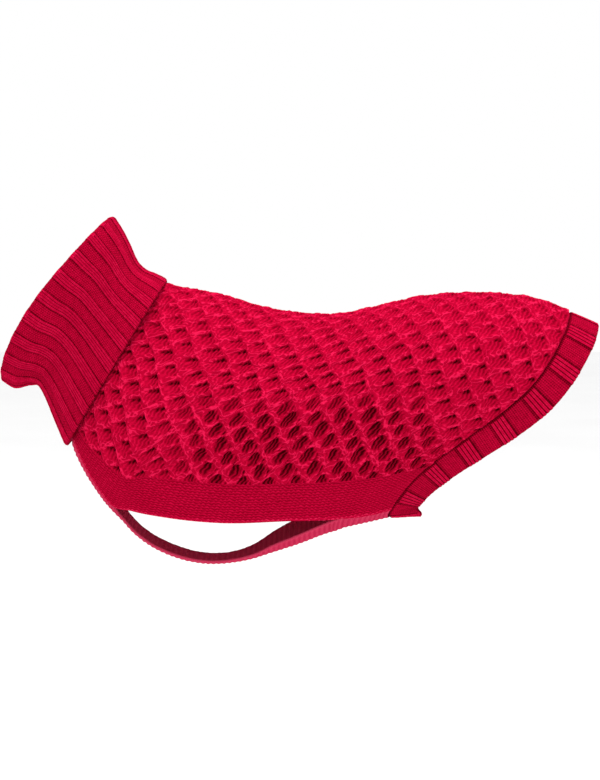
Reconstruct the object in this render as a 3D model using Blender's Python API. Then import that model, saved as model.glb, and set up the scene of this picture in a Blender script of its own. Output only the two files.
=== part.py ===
"""Knitted dog pullover, in the hollow form that it takes when it is worn.

Run with: blender --background --python part.py

Metres, +Z up. The head end is at -X and the tail end at +X, and the garment
mirrors across Y = 0. The origin is on the inner face of the back, where the
wearer's back carries it.

Four knitted pieces, each a thin closed wall:
- body_panel: honeycomb back and sides, with a plain band at each lower edge
- belly_panel: cross-ribbed strip down the chest, between the legs and back
- collar: ribbed tube that is folded down over itself
- hem_band: ribbed ring round the rear opening
"""
import math
from collections import namedtuple

import bmesh
import bpy
import numpy as np

MM = 0.001

# Driving dimensions in millimetres.
WALL = 2.0              # thickness of the single knitted cloth
SEAM_GAP = 0.5          # clearance between two pieces at a seam

CELL_PITCH = 23.0       # honeycomb cell, along the body
CELL_ROWS = 17          # honeycomb rows from the spine to a side band
CORD_RISE = 2.8         # honeycomb cords above the floors of the cells
CORD_ZIGZAG = 0.3       # how far a cord swings, in half rows
CELL_FLOOR_RISE = 0.15  # height of a cell's floor beside its cords, in cords
START_RING = 0.42       # ring from which the cells are counted
NECK_FADE = 14.0        # the cords flatten towards the neck seam over this length

RIB_RISE = 1.3          # ribs of the collar and the hem above the cloth
COLLAR_RIBS = 22
COLLAR_SLOT = 0.9       # between the two layers of the folded collar
COLLAR_OUTER_WALL = 2.4
HEM_RIBS = 18
HEM_WIDTH = 28.0
HEM_DRAW_IN = 1.0       # how far the hem's free edge pulls in
HEM_DROOP = 7.0         # how far it hangs under the belly

BELLY_RIB_PITCH = 4.8
BELLY_RIB_RISE = 0.7

# How finely the pieces are divided.
RING_COUNT = 161        # rings that are worked out along the body
RING_POINTS = 120       # points that are worked out round half a ring
BAND_ROWS = 3           # mesh rows across a side band
INNER_ROWS = 3          # outer rows and steps for each one on the inside
INNER_STEPS = 4
SEAM_INNER_STEPS = 2
BELLY_COLUMNS = (0.0, 0.14, 0.48, 1.0)  # edge to centre line
BELLY_INNER_ROWS = 6
HEM_STOPS = (0.0, 0.35, 0.7, 0.97)      # seam to free edge
LAYER_STOPS = (0.74, 0.52, 0.3, 0.07)   # along both layers of the collar
SOFTENING_STEPS = 240   # even steps round the hem, for its direction
SOFTENING_PASSES = 30

# Columns of one rib: share of the pitch, and 1 on the rib or 0 in the groove.
HEM_RIB_COLUMNS = ((0.0, 1), (0.13, 1), (0.18, 0), (0.5, 0), (0.82, 0), (0.87, 1))
COLLAR_RIB_COLUMNS = ((0.27, 0), (0.34, 1), (0.66, 1), (0.73, 0))

# Rings run from the spine down one side to the lower edge of its band.
# along: 0 at the neck seam, 1 at the hem seam. bow and bulge bend the ring
# in side view, and band is the width of the plain band.
Ring = namedtuple("Ring", "along back_x edge_x half_width bow bulge band")
RINGS = [
    Ring(0.00, -129.5, -203.5, 56, 0.00, 0.00, 14),
    Ring(0.15, -60.0, -168.0, 83, -0.25, 0.00, 40),
    Ring(0.32, 0.0, -109.0, 91, -0.40, 0.00, 41),
    Ring(0.43, 36.0, -74.0, 92, -0.45, 0.00, 41),
    Ring(0.57, 90.0, -28.0, 91, -0.45, 0.08, 40),
    Ring(0.70, 143.5, 13.0, 88, -0.43, 0.27, 40),
    Ring(0.85, 197.0, 48.5, 81, -0.42, 0.65, 44),
    Ring(1.00, 241.4, 80.0, 66, -0.40, 0.93, 52),
]
EDGE_ANGLE = math.radians(140)  # how far round the torso a band's edge lies
BULGE_HEIGHT = 0.72     # share of the ring's height where the bulge is full

Spine = namedtuple("Spine", "x z")
SPINE = [
    Spine(-129.5, 32.5),
    Spine(-121.0, 29.0),
    Spine(-90.0, 22.2),
    Spine(-70.0, 18.4),
    Spine(-36.0, 8.2),
    Spine(0.0, 2.0),
    Spine(36.0, 1.3),
    Spine(72.0, 8.6),
    Spine(108.0, 16.6),
    Spine(144.0, 20.0),
    Spine(180.0, 19.4),
    Spine(215.0, 14.4),
    Spine(241.4, 4.6),
]

# Lower edge of the body panel: down the chest, then along the side band.
Edge = namedtuple("Edge", "x z half")
EDGE = [
    Edge(-203.5, -102.0, 28),
    Edge(-199.5, -113.0, 30),
    Edge(-193.0, -127.0, 32),
    Edge(-182.0, -145.5, 36),
    Edge(-168.0, -163.0, 42),
    Edge(-148.0, -167.0, 57),
    Edge(-116.0, -171.4, 68),
    Edge(-69.0, -175.2, 73),
    Edge(-10.0, -173.5, 73),
    Edge(35.0, -172.0, 71),
    Edge(61.0, -170.0, 64),
    Edge(80.0, -167.0, 53),
]
LEG_FRONT_X = -168.0    # the leg opening starts and ends at these points
LEG_REAR_X = 38.0

# Stations of the belly panel, from the throat to the hem: its centre line and
# its edge. The edges outside the leg openings are sewn to the body panel.
Belly = namedtuple("Belly", "x z edge_x edge_z edge_half")
BELLY = [
    Belly(-205.0, -103.0, -203.5, -102.0, 30),
    Belly(-201.3, -118.0, -197.3, -118.8, 32),
    Belly(-192.0, -137.5, -187.0, -138.0, 35),
    Belly(-181.5, -153.5, -177.0, -152.0, 38),
    Belly(-171.0, -168.0, -168.0, -163.0, 42),
    Belly(-159.8, -178.8, -159.8, -178.0, 25),
    Belly(-149.8, -190.5, -149.8, -190.0, 24),
    Belly(-137.5, -200.8, -137.5, -200.0, 24),
    Belly(-118.5, -212.0, -118.5, -210.0, 24),
    Belly(-86.0, -220.5, -86.0, -218.4, 22),
    Belly(-60.0, -219.5, -60.0, -217.2, 23),
    Belly(-42.0, -216.2, -42.0, -211.8, 30),
    Belly(-22.0, -210.5, -22.0, -200.6, 43),
    Belly(0.0, -203.0, 0.0, -190.0, 55),
    Belly(20.0, -195.0, 20.0, -180.0, 64),
    Belly(39.0, -188.6, 38.0, -172.0, 71),
    Belly(60.0, -182.8, 60.0, -170.0, 64),
    Belly(82.0, -178.4, 80.0, -167.0, 53),
]
STRIP_EDGE_SLOPE = math.radians(27)  # the free strip curls up to its edges
SEWN_TURN = 30.0        # length over which the belly cloth leaves a side band
SEAM_FADE = 12.0        # length over which a sewn edge becomes a free one
WALL_TURN = 6           # how fast the belly's wall direction leaves the band's
SLOPE_STEP = 0.5        # step for the belly's direction along its length

# Outer face of the collar from its fold to its free edge: along is 0 at the
# fold, then the nape and throat points in side view, half the width, and how
# far the sides of the ring stand towards the head. lip is how far the fold
# sags out in front of the throat.
Collar = namedtuple("Collar", "along nape_x nape_z throat_x throat_z half_width side_reach lip")
COLLAR = [
    Collar(0.00, -166.5, 88.5, -263.0, -52.5, 67, 11, 4.5),
    Collar(0.14, -161.0, 80.0, -252.0, -55.5, 65, 9, 8.0),
    Collar(0.34, -154.0, 66.5, -240.5, -57.5, 62, 6, 2.5),
    Collar(0.56, -145.5, 48.5, -232.5, -61.5, 60, 3, 0.0),
    Collar(0.70, -138.5, 42.0, -227.0, -72.0, 60, 2, 0.0),
    Collar(0.86, -129.0, 38.0, -218.5, -93.5, 62, 1, 0.0),
    Collar(1.00, -120.0, 33.5, -210.0, -114.0, 65, 0, 0.0),
]
COLLAR_OVAL = 2.4       # 2 is an ellipse, and more is blunter
REACH_SKEW = 0.45       # the sides reach further nearer the throat
LIP_SHARPNESS = 6       # how narrow the sag before the throat is
COLLAR_SEAM = 0.86      # place along the collar where the neck seam lies
COLLAR_HEM = 0.87       # mesh row before the free edge
PULL_START = 0.45       # the inner layer turns to the neck seam from here
PULL_LENGTH = 0.4
FOLD_ANGLES = (15, 60, 120, 165)    # degrees round the fold
COLLAR_STEP = 0.02      # step for the collar's direction along its length

Finish = namedtuple("Finish", "colour roughness")
KNIT = Finish((0.60, 0.004, 0.030, 1.0), 0.92)
RIBBED_KNIT = Finish((0.54, 0.004, 0.028, 1.0), 0.92)


def smooth(knots, values, where):
    """Value at `where` of a soft curve through the knots (Catmull-Rom)."""
    knots = np.asarray(knots, float)
    values = np.asarray(values, float)
    slopes = np.gradient(values, knots, axis=0)
    where = np.clip(where, knots[0], knots[-1])
    left = np.clip(np.searchsorted(knots, where) - 1, 0, len(knots) - 2)
    step = knots[left + 1] - knots[left]
    t = (where - knots[left]) / step
    return (
        (2 * t**3 - 3 * t**2 + 1) * values[left]
        + (t**3 - 2 * t**2 + t) * step * slopes[left]
        + (3 * t**2 - 2 * t**3) * values[left + 1]
        + (t**3 - t**2) * step * slopes[left + 1]
    )


def column(table, name):
    return [getattr(row, name) for row in table]


def read(table, key, name, where):
    """Column `name` of a table, read between its rows at `where` on `key`."""
    return smooth(column(table, key), column(table, name), where)


def unit(vectors):
    return vectors / np.linalg.norm(vectors, axis=-1, keepdims=True)


def lengths_along(points):
    """Distance from the first point to each point of a line."""
    steps = np.linalg.norm(np.diff(points, axis=0), axis=1)
    return np.concatenate([[0.0], np.cumsum(steps)])


def walk(stops, points, where):
    """Points at the distances `where` along a line whose points lie at `stops`."""
    return np.stack([np.interp(where, stops, points[:, axis]) for axis in range(3)], axis=-1)


def mirrored(points):
    return points * (1, -1, 1)


class Solid:
    """A closed wall that is gathered from grids of vertex numbers.

    A number may be repeated in a grid, where a coarse row meets a fine one or
    where a row is cut off by a seam, and the faces there become triangles.
    """

    def __init__(self, name, finish):
        self.name = name
        self.finish = finish
        self.points = []
        self.rises = []
        self.faces = []

    def add(self, points, rise=0.0):
        """Add an array of points, and give their numbers in the same layout."""
        points = np.asarray(points)
        flat = points.reshape(-1, 3)
        numbers = np.arange(len(flat)) + len(self.points)
        self.points.extend(flat.tolist())
        self.rises.extend([rise] * len(flat))
        return numbers.reshape(points.shape[:-1])

    def skin(self, grid, closed=False):
        """Faces over a grid, whose rows close on themselves when asked."""
        for low, high in zip(grid[:-1], grid[1:]):
            if closed:
                low = np.append(low, low[0])
                high = np.append(high, high[0])
            for a, b, c, d in zip(low[:-1], low[1:], high[1:], high[:-1]):
                corners = list(dict.fromkeys((int(a), int(b), int(c), int(d))))
                if len(corners) == 4:
                    self.faces.extend(self.halves(*corners))
                elif len(corners) == 3:
                    self.faces.append(corners)

    def halves(self, a, b, c, d):
        """Two triangles, split where the relief is higher, so that a cord stays whole."""
        if self.rises[a] + self.rises[c] >= self.rises[b] + self.rises[d]:
            return (a, b, c), (a, c, d)
        return (a, b, d), (b, c, d)

    def panel(self, outer, inner):
        """Close a panel: its outer and inner grids and the four edges between."""
        self.skin(outer)
        self.skin(inner)
        for side in (0, -1):
            self.skin([outer[side], inner[side]])
            self.skin([outer[:, side], inner[:, side]])

    def build(self):
        mesh = bpy.data.meshes.new(self.name)
        shell = bmesh.new()
        corners = [shell.verts.new(np.multiply(point, MM)) for point in self.points]
        for face in self.faces:
            shell.faces.new([corners[number] for number in face])
        loose = [vertex for vertex in shell.verts if not vertex.link_faces]
        bmesh.ops.delete(shell, geom=loose, context="VERTS")
        bmesh.ops.recalc_face_normals(shell, faces=shell.faces)
        shell.to_mesh(mesh)
        shell.free()
        mesh.shade_smooth()
        mesh.materials.append(material(self.name, self.finish))
        part = bpy.data.objects.new(self.name, mesh)
        bpy.context.collection.objects.link(part)
        return part


def material(name, finish):
    made = bpy.data.materials.new(name)
    made.use_nodes = True
    shader = made.node_tree.nodes["Principled BSDF"]
    shader.inputs["Base Color"].default_value = finish.colour
    shader.inputs["Roughness"].default_value = finish.roughness
    shader.inputs["Metallic"].default_value = 0.0
    made.diffuse_color = finish.colour
    return made


# ---- body panel -----------------------------------------------------------

def body_ring(along):
    """Fine points of one ring of the body, from the spine to the near edge."""
    angle = np.linspace(0.0, EDGE_ANGLE, RING_POINTS)
    height = 1 - (1 - np.cos(angle)) / (1 - math.cos(EDGE_ANGLE))
    back_x = read(RINGS, "along", "back_x", along)
    edge_x = read(RINGS, "along", "edge_x", along)
    half_width = read(RINGS, "along", "half_width", along)
    full = (1 - np.cos(math.pi * np.minimum(height / BULGE_HEIGHT, 1.0))) / 2
    bend = read(RINGS, "along", "bow", along) + read(RINGS, "along", "bulge", along) * full
    back_z = read(SPINE, "x", "z", back_x)
    edge_z = read(EDGE, "x", "z", edge_x)
    edge_half = read(EDGE, "x", "half", edge_x)
    # Below the widest place the side hangs in to the edge's own half width.
    hang = (1 - edge_half / half_width) / (1 - math.sin(EDGE_ANGLE))
    side = np.sin(angle)
    side = np.where(angle > math.pi / 2, 1 - (1 - side) * hang, side)
    x = edge_x + (back_x - edge_x) * (height + height * (1 - height) * bend)
    return np.column_stack([x, -half_width * side, edge_z + (back_z - edge_z) * height])


class BodyChart:
    """The body's outer face as rows of points along the body.

    Rows are counted in half cell rows from the spine, then across the band.
    Row 0 is the spine, and rows on the far side have negative numbers.
    """

    rings = np.linspace(0.0, 1.0, RING_COUNT)
    honey_rows = 2 * CELL_ROWS
    rows = honey_rows + BAND_ROWS

    def __init__(self):
        points = np.empty((len(self.rings), self.rows + 1, 3))
        for number, along in enumerate(self.rings):
            ring = body_ring(along)
            stops = lengths_along(ring)
            band = read(RINGS, "along", "band", along)
            honey = np.linspace(0.0, stops[-1] - band, self.honey_rows + 1)
            plain = np.linspace(stops[-1] - band, stops[-1], BAND_ROWS + 1)[1:]
            points[number] = walk(stops, ring, np.concatenate([honey, plain]))
        self.points = points
        along_body = np.gradient(points, axis=0)
        round_body = np.gradient(points, axis=1)
        round_body[:, 0] = (0, -1, 0)
        self.down = unit(round_body)
        self.normals = unit(np.cross(round_body, along_body))
        # Each row's distances are counted from the ring where cells start.
        start = np.interp(START_RING, self.rings, np.arange(len(self.rings)))
        self.stops = np.empty(points.shape[:2])
        for row in range(self.rows + 1):
            stops = lengths_along(points[:, row])
            self.stops[:, row] = stops - np.interp(start, np.arange(len(stops)), stops)

    def at(self, row, distance, lift):
        """Point on a row, `lift` outside the cloth's outer face."""
        near = abs(row)
        whole = min(int(near), self.rows - 1)
        part = near - whole
        found = np.zeros(3)
        for number, share in ((whole, 1 - part), (whole + 1, part)):
            stops = self.stops[:, number]
            place = np.clip(distance, stops[0], stops[-1])
            point = walk(stops, self.points[:, number], place)
            normal = unit(walk(stops, self.normals[:, number], place))
            found += share * (point + lift * normal)
        return found if row >= 0 else mirrored(found)

    def edge(self, edge_x):
        """Point, outward normal and downward direction at the lower edge."""
        line = self.points[:, -1]
        found = [
            np.stack([np.interp(edge_x, line[:, 0], values[:, axis]) for axis in range(3)])
            for values in (line, self.normals[:, -1], self.down[:, -1])
        ]
        return found[0], unit(found[1]), unit(found[2])

    def end_ring(self, number):
        """Points and normals of the first or last ring, spine to near edge."""
        return self.points[number], self.normals[number]


def honeycomb(row, step):
    """Rise and row shift of a honeycomb vertex, in quarter pitches and half rows."""
    near = abs(row)
    phase = (step + 2 * ((near + near % 2) // 2)) % 4
    if near % 2 == 0:
        rise = {0: 0.0, 1: CELL_FLOOR_RISE, 2: 1.0, 3: CELL_FLOOR_RISE}[phase]
        return rise, 0.0
    return 1.0, {0: -CORD_ZIGZAG, 2: CORD_ZIGZAG}.get(phase, 0.0)


def body_panel(chart):
    """Back and sides: a honeycomb relief over a plain inside, and two bands."""
    solid = Solid("body_panel", KNIT)
    quarter = CELL_PITCH / 4
    first = math.floor(chart.stops[0].min() / quarter) - 1
    last = math.ceil(chart.stops[-1].max() / quarter) + 1
    steps = range(first, last + 1)
    rows = range(-chart.rows, chart.rows + 1)
    outer = np.empty((len(rows), len(steps)), int)
    inner = np.empty_like(outer)

    def ends(row):
        return chart.stops[0, abs(row)], chart.stops[-1, abs(row)]

    def grid_row(row, every, place_point):
        """Numbers along a row, where steps beyond a seam share its point."""
        low, high = ends(row)
        nearest = every * quarter * 0.4     # no step lies closer to a seam
        made = {}
        numbers = []
        for step in steps:
            coarse = round(step / every) * every
            distance = min(max(coarse * quarter, low), high)
            if coarse * quarter < low + nearest:
                coarse, distance = None, low
            elif coarse * quarter > high - nearest:
                coarse, distance = None, high
            key = (coarse, distance)
            if key not in made:
                made[key] = place_point(row, coarse, distance)
            numbers.append(made[key])
        return numbers

    def outer_point(row, step, distance):
        if step is None or abs(row) >= chart.honey_rows:
            return int(solid.add(chart.at(row, distance, 0.0)))
        rise, shift = honeycomb(row, step)
        rise *= min(1.0, (distance - ends(row)[0]) / NECK_FADE)
        shifted = math.copysign(abs(row) + shift, row) if row else shift
        return int(solid.add(chart.at(shifted, distance, rise * CORD_RISE), rise))

    def inner_point(row, _, distance):
        return int(solid.add(chart.at(row, distance, -WALL)))

    made_inner = {}
    for index, row in enumerate(rows):
        outer[index] = grid_row(row, 1, outer_point)
        coarse = round(row / INNER_ROWS) * INNER_ROWS
        every = INNER_STEPS
        if chart.rows - abs(row) < 2:
            coarse = int(math.copysign(chart.rows, row))
            every = SEAM_INNER_STEPS
        if coarse not in made_inner:
            made_inner[coarse] = grid_row(coarse, every, inner_point)
        inner[index] = made_inner[coarse]
        if row != coarse:
            # Each row has its own points at the two seams.
            for side, distance in ((0, ends(row)[0]), (-1, ends(row)[1])):
                shared = inner[index] == inner[index, side]
                inner[index, shared] = solid.add(chart.at(row, distance, -WALL))
    solid.panel(outer, inner)
    return solid.build()


# ---- belly panel ----------------------------------------------------------

class BellyChart:
    """Outer face and wall direction of the belly panel."""

    def __init__(self, body):
        self.body = body
        centre = np.array([[row.x, 0.0, row.z] for row in BELLY])
        self.knots = lengths_along(centre)
        self.length = self.knots[-1]

    def station(self, distance):
        """One cross line: edge, centre, edge direction and the wall's direction there."""
        def value(name):
            return smooth(self.knots, column(BELLY, name), distance)

        centre = np.array([value("x"), 0.0, value("z")])
        edge_x = value("edge_x")
        free_edge = np.array([edge_x, -value("edge_half"), value("edge_z")])
        curl = np.array([0.0, math.cos(STRIP_EDGE_SLOPE), -math.sin(STRIP_EDGE_SLOPE)])
        sewn_edge, wall, down = self.body.edge(edge_x)
        # 1 where the panel is sewn, fading to 0 just inside the leg opening.
        inside = min(edge_x - LEG_FRONT_X, LEG_REAR_X - edge_x)
        sewn = float(np.clip(1 - inside / SEAM_FADE, 0.0, 1.0))
        edge = free_edge if inside > 0 else sewn_edge
        edge = edge + sewn * SEAM_GAP * down
        span = np.linalg.norm(centre - edge)
        reach = sewn * min(SEWN_TURN, span) + (1 - sewn) * span
        leave = unit(sewn * down + (1 - sewn) * curl) * reach
        return edge, centre, leave, wall, sewn, span

    def cross(self, distance, shares):
        """Points from the near edge (share 0) to the centre (share 1)."""
        edge, centre, leave, wall, sewn, span = self.station(distance)
        t = np.asarray(shares, float)[:, None]
        arrive = np.array([0.0, span, 0.0])
        points = (
            (2 * t**3 - 3 * t**2 + 1) * edge
            + (t**3 - 2 * t**2 + t) * leave
            + (3 * t**2 - 2 * t**3) * centre
            + (t**3 - t**2) * arrive
        )
        return points, wall, sewn

    def sheet(self, distances, shares):
        """Near half of the panel: points and the direction out of the cloth."""
        found = [self.cross(distance, shares) for distance in distances]
        points = np.stack([row[0] for row in found])
        after = np.minimum(np.asarray(distances) + SLOPE_STEP, self.length)
        before = np.maximum(np.asarray(distances) - SLOPE_STEP, 0.0)
        ahead = np.stack([self.cross(distance, shares)[0] for distance in after])
        behind = np.stack([self.cross(distance, shares)[0] for distance in before])
        across = np.gradient(points, axis=1)
        across[:, -1] = (0, 1, 0)
        normals = unit(np.cross(across, ahead - behind))
        # Where it is sewn, its edge has the same wall direction as the band.
        fade = (1 - np.asarray(shares)) ** WALL_TURN
        for number, (_, wall, sewn) in enumerate(found):
            share = (fade * sewn)[:, None]
            normals[number] = unit(normals[number] * (1 - share) + wall * share)
        return points, normals


def whole_width(near_half):
    """Rows from the near edge over the centre line to the far edge."""
    return np.concatenate([near_half, mirrored(near_half[:, -2::-1])], axis=1)


def belly_panel(chart):
    """Strip with ribs across it, from the throat to the hem."""
    solid = Solid("belly_panel", RIBBED_KNIT)
    ribs = round(chart.length / BELLY_RIB_PITCH)
    distances = np.linspace(SEAM_GAP, chart.length - SEAM_GAP, 2 * ribs + 1)
    points, normals = chart.sheet(distances, BELLY_COLUMNS)
    number = np.arange(len(distances))
    lift = np.where(number % 2 == 1, BELLY_RIB_RISE, 0.0)[:, None] * np.sign(BELLY_COLUMNS)
    outer = solid.add(whole_width(points + lift[..., None] * normals))
    kept = np.union1d(number[::BELLY_INNER_ROWS], number[-1:])
    inner_rows = solid.add(whole_width(points - WALL * normals)[kept])
    nearest = abs(kept[None, :] - number[:, None]).argmin(axis=1)
    solid.panel(outer, inner_rows[nearest])
    return solid.build()


# ---- rings that join the body and belly panels ----------------------------

def joined_ring(body, belly, ring_number, distance):
    """Closed line round the neck or the rump: body panel, then belly panel.

    It starts at the spine, goes down the near side, under the belly and up the
    far side. Gives points, wall directions and distances along the line.
    """
    side, side_normals = body.end_ring(ring_number)
    under, under_normals = belly.sheet([distance], np.linspace(0, 1, RING_POINTS // 2))
    points = np.concatenate([side, under[0, 1:]])
    normals = np.concatenate([side_normals, under_normals[0, 1:]])
    points = np.concatenate([points, mirrored(points[-2::-1])])
    normals = np.concatenate([normals, mirrored(normals[-2::-1])])
    return points, normals, lengths_along(points)


def rib_columns(ribs, stops):
    """Places of a ribbed ring's columns, as shares of one turn, and their rise."""
    shares = []
    rises = []
    for rib in range(ribs):
        for stop, rise in stops:
            shares.append((rib + stop) / ribs)
            rises.append(rise)
    return np.array(shares), np.array(rises)


def ring_at(points, normals, stops, shares):
    """Points and wall directions at shares of one turn round a closed line."""
    where = np.asarray(shares) * stops[-1]
    return walk(stops, points, where), unit(walk(stops, normals, where))


def softened(values, passes):
    """Each row of a closed ring's values drawn towards its neighbours."""
    for _ in range(passes):
        values = (np.roll(values, 1, axis=0) + 2 * values + np.roll(values, -1, axis=0)) / 4
    return values


def thinned(numbers, every):
    """A closed row of numbers in which only every so many columns are kept."""
    kept = (np.arange(len(numbers)) // every) * every
    return numbers[kept]


# ---- hem ------------------------------------------------------------------

def hem_directions(line, line_normals, stops, shares):
    """Direction from the seam to the hem's free edge, in the cloth's surface."""
    even = np.linspace(0.0, 1.0, SOFTENING_STEPS + 1)
    points, normals = ring_at(line, line_normals, stops, even[:-1])
    along = np.roll(points, -1, axis=0) - np.roll(points, 1, axis=0)
    away = softened(unit(np.cross(normals, along)), SOFTENING_PASSES)
    return unit(walk(even, np.concatenate([away, away[:1]]), shares))


def hem_band(body, belly):
    """Ribbed ring from the hem seam out to the free edge."""
    solid = Solid("hem_band", RIBBED_KNIT)
    line, line_normals, stops = joined_ring(body, belly, -1, belly.length)
    shares, rises = rib_columns(HEM_RIBS, HEM_RIB_COLUMNS)
    points, normals = ring_at(line, line_normals, stops, shares)
    away = hem_directions(line, line_normals, stops, shares)
    outer_rows = []
    inner_rows = []
    droop = np.clip(-normals[:, 2:], 0.0, 1.0) ** 2 * np.array([0.0, 0.0, -HEM_DROOP])
    for share in HEM_STOPS:
        base = points + away * (SEAM_GAP + share * HEM_WIDTH) - normals * HEM_DRAW_IN * share**2
        base = base + droop * share
        ribbed = base + normals * (rises * RIB_RISE * (share > 0))[:, None]
        outer_rows.append(solid.add(ribbed))
        inside = solid.add(base - normals * WALL)
        inner_rows.append(thinned(inside, 2) if share else inside)
    rounded = points + away * (SEAM_GAP + HEM_WIDTH) - normals * (HEM_DRAW_IN + WALL / 2) + droop
    lip = solid.add(rounded)
    section = outer_rows + [lip] + inner_rows[::-1] + [outer_rows[0]]
    solid.skin(section, closed=True)
    return solid.build()


# ---- collar ---------------------------------------------------------------

class CollarChart:
    """Outer face of the folded collar."""

    def __init__(self, shares):
        self.shares = shares

    def ring(self, along):
        """Points of the ring at `along`, evenly paced round the neck."""
        nape = np.array([read(COLLAR, "along", "nape_x", along), 0.0,
                         read(COLLAR, "along", "nape_z", along)])
        throat = np.array([read(COLLAR, "along", "throat_x", along), 0.0,
                           read(COLLAR, "along", "throat_z", along)])
        half_width = np.array([0.0, -read(COLLAR, "along", "half_width", along), 0.0])
        headwards = unit(np.cross(half_width, nape - throat))
        reach = headwards * read(COLLAR, "along", "side_reach", along)
        angle = np.linspace(0.0, 2 * math.pi, 361)[:, None]
        middle = (nape + throat) / 2
        across, beside = np.cos(angle), np.sin(angle)
        blunt = (abs(across) ** COLLAR_OVAL + abs(beside) ** COLLAR_OVAL) ** (-1 / COLLAR_OVAL)
        line = middle + blunt * ((nape - middle) * across + half_width * beside)
        line = line + reach * beside**2 * (1 - REACH_SKEW * across)
        sag = read(COLLAR, "along", "lip", along) * np.clip(-across, 0.0, 1.0) ** LIP_SHARPNESS
        line = line + unit(throat - nape) * sag
        stops = lengths_along(line)
        return walk(stops, line, self.shares * stops[-1])

    def place(self, along):
        """Ring, outward normals and the direction towards the free edge."""
        ring = self.ring(along)
        down = self.ring(min(along + COLLAR_STEP, 1.0)) - self.ring(max(along - COLLAR_STEP, 0.0))
        around = np.roll(ring, -1, axis=0) - np.roll(ring, 1, axis=0)
        normals = unit(np.cross(around, down))
        middle = ring.mean(axis=0)
        if np.sum(normals[0] * (ring[0] - middle)) < 0:
            normals = -normals
        return ring, normals, unit(down)


def collar(body, belly):
    """Ribbed tube, folded outwards at the top and down over the neck seam."""
    solid = Solid("collar", RIBBED_KNIT)
    shares, rises = rib_columns(COLLAR_RIBS, COLLAR_RIB_COLUMNS)
    chart = CollarChart(shares)
    line, line_normals, stops = joined_ring(body, belly, 0, 0.0)
    seam, seam_normals = ring_at(line, line_normals, stops, shares)
    slot_depth = COLLAR_OUTER_WALL + COLLAR_SLOT
    over_seam, over_normals, over_down = chart.place(COLLAR_SEAM)

    def layer(along, depth, ribs=0.0):
        ring, normals, _ = chart.place(along)
        return ring + normals * (ribs * rises * RIB_RISE)[:, None] - normals * depth

    def inner_layer(along, depth):
        """Inner layer's face, drawn to the neck seam as it comes near it."""
        pull = float(np.clip((along - PULL_START) / PULL_LENGTH, 0.0, 1.0)) ** 2
        free = layer(along, slot_depth + depth)
        under_seam = over_seam - over_normals * (slot_depth + depth)
        return free + (seam - seam_normals * depth - under_seam) * pull

    def seam_end(depth):
        return seam - seam_normals * depth - over_down * SEAM_GAP

    outer = [layer(along, 0.0, 1.0) for along in (1.0, COLLAR_HEM) + LAYER_STOPS]
    fold_top, fold_normals, fold_down = chart.place(0.0)
    bulk = (slot_depth + WALL) / 2
    turn = [
        fold_top - fold_normals * bulk * (1 - math.cos(angle)) - fold_down * bulk * math.sin(angle)
        for angle in np.radians(FOLD_ANGLES)
    ]
    inside = [inner_layer(along, WALL) for along in LAYER_STOPS[::-1]]
    slot_inner = [inner_layer(along, 0.0) for along in LAYER_STOPS]
    slot_outer = [layer(along, COLLAR_OUTER_WALL) for along in LAYER_STOPS[::-1] + (COLLAR_HEM, 1.0)]
    ribbed = [solid.add(ring) for ring in outer + turn[:2]]
    plain = turn[2:] + inside + [seam_end(WALL), seam_end(0.0)] + slot_inner + slot_outer
    plain = [thinned(solid.add(ring), 2) for ring in plain]
    solid.skin(ribbed + plain + ribbed[:1], closed=True)
    return solid.build()


def main():
    for old in list(bpy.data.objects):
        bpy.data.objects.remove(old, do_unlink=True)
    body = BodyChart()
    belly = BellyChart(body)
    body_panel(body)
    belly_panel(belly)
    hem_band(body, belly)
    collar(body, belly)


main()
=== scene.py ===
"""Looks of the knitted dog pullover: real relief for every piece of its knit.

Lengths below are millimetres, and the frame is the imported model's: the head
end is at -X, the tail end at +X, +Z is up, and the garment mirrors across Y =
0.
"""
import math
from collections import namedtuple

import bpy
import numpy as np
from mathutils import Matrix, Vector


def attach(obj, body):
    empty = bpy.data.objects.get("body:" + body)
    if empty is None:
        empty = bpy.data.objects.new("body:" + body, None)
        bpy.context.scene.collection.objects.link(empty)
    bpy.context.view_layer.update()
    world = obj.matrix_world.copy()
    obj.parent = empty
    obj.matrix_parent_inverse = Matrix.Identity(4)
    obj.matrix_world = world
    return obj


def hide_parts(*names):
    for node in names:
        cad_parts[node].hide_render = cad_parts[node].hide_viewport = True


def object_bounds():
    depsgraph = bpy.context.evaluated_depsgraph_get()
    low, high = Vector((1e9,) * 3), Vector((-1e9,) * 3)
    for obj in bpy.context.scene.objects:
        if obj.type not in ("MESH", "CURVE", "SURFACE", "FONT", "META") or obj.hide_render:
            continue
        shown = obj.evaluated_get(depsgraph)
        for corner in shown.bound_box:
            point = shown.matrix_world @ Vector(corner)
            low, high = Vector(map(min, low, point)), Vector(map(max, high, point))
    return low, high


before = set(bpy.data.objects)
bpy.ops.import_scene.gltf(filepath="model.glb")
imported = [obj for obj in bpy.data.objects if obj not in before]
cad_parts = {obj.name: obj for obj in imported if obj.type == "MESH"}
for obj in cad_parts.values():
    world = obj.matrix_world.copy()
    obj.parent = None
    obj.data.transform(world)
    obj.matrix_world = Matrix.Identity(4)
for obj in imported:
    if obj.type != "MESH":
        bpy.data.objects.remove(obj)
CAD_BOX = [list(corner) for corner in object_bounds()]

MM = 0.001

# ---- the garment's form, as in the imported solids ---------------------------

WALL = 2.0              # thickness of the single knitted cloth
SEAM_GAP = 0.5          # clearance between two pieces at a seam

CELL_PITCH = 23.0       # honeycomb cell, along the body
CELL_ROWS = 17          # honeycomb rows from the spine to a side band
CORD_RISE = 2.8         # honeycomb cords above the floors of the cells
START_RING = 0.42       # ring from which the cells are counted
NECK_FADE = 14.0        # the cords flatten towards the neck seam over this length

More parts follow.
